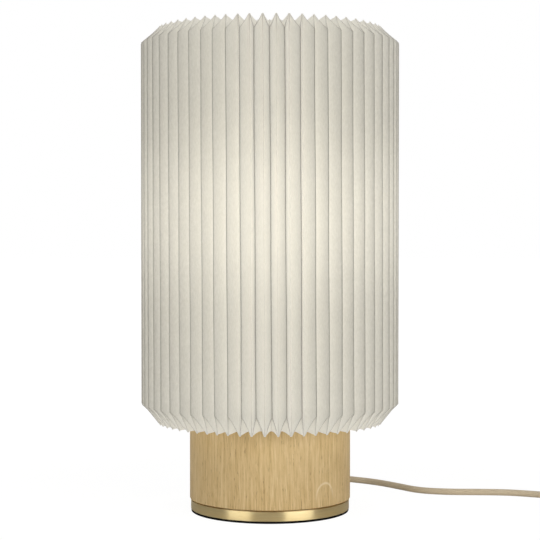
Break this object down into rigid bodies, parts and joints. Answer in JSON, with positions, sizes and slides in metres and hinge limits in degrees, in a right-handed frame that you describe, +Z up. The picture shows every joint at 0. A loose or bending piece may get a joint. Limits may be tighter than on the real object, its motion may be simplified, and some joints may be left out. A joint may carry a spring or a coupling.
{
  "type": "table lamp",
  "caption": "Table lamp with a tall cylindrical pleated paper shade on a round wooden drum with a brass ring, a screw-in bulb inside, and a textile mains lead with in-line switch and plug",
  "frame": {"origin": "centre of the lamp's foot on the surface it stands on, on the axis of the shade", "axes": "+Z is up along the lamp's axis; the mains lead leaves the base towards +Y, which is the back, and -Y is the front; +X is to the right seen from the front"},
  "size_m": [0.4034, 0.2644, 0.374],
  "materials": {
    "shade_paper": "matte",
    "oak": "satin",
    "brass": "brushed",
    "black_pad": "matte",
    "plate_steel": "satin",
    "ballast_iron": "matte",
    "zinc_steel": "satin",
    "black_plastic": "satin",
    "thread_brass": "satin",
    "bulb_metal": "satin",
    "bulb_black_glass": "gloss",
    "opal_glass": "satin",
    "white_wire": "satin",
    "beige_textile": "matte",
    "beige_plastic": "satin",
    "core_sleeving": "satin",
    "nickel": "polished"
  },
  "bodies": {
    "base": {"foot_pad": "black_pad", "bottom_plate": "plate_steel", "plate_screws": "zinc_steel", "ballast_screws": "zinc_steel", "brass_ring": "brass", "oak_drum": "oak", "ballast": "ballast_iron", "stem_tube": "zinc_steel", "stem_washer": "zinc_steel", "stem_nut": "zinc_steel", "locator_disc": "white_wire", "stem_sleeve": "white_wire", "holder_cap": "black_plastic", "holder_grub_screw": "zinc_steel", "holder_insert": "black_plastic", "holder_shell": "black_plastic", "holder_thread": "thread_brass", "holder_contact": "thread_brass", "lead_grommet": "black_plastic", "lead_in_base": "beige_textile", "lead_clamp": "black_plastic", "clamp_screws": "zinc_steel", "core_wires": "core_sleeving", "lead_to_switch": "beige_textile", "lead_to_coil": "beige_textile", "lead_coil": "beige_textile", "coil_tie": "black_plastic", "lead_to_plug": "beige_textile", "switch_lower_shell": "beige_plastic", "switch_upper_shell": "beige_plastic", "switch_screws": "zinc_steel", "rocker_pin": "zinc_steel", "switch_terminals": "thread_brass", "plug_relief": "beige_plastic", "plug_body": "beige_plastic", "plug_prongs": "nickel", "prong_sleeves": "black_plastic"},
    "shade": {"paper_shade": "shade_paper", "shade_carrier_plate": "white_wire", "lower_hoop": "white_wire", "upper_hoop": "white_wire", "frame_arms": "white_wire", "frame_uprights": "white_wire"},
    "bulb_axial": {"bulb_tip": "bulb_metal"},
    "bulb": {"bulb_insulator": "bulb_black_glass", "bulb_cap": "bulb_metal", "bulb_globe": "opal_glass"},
    "rocker": {"switch_rocker": "beige_plastic"}
  },
  "joints": [
    {"name": "shade_lift", "type": "slide", "parent": "base", "child": "shade", "axis": [0, 0, 1], "range_m": [0, 0.25]},
    {"name": "bulb_rise", "type": "slide", "parent": "base", "child": "bulb_axial", "axis": [0, 0, 1], "range_m": [0, 0.0154]},
    {"name": "bulb_unscrew", "type": "hinge", "parent": "bulb_axial", "child": "bulb", "pos_m": [0, 0, 0.18], "axis": [0, 0, 1], "range_deg": [0, 1530]},
    {"name": "rocker_tip", "type": "hinge", "parent": "base", "child": "rocker", "pos_m": [0.233, -0.022, 0.0124], "axis": [1, 0, 0], "range_deg": [0, 16]}
  ],
  "couplings": [
    {"joint": "bulb_unscrew", "follows": "bulb_rise", "rad_per_m": 1731.4}
  ]
}
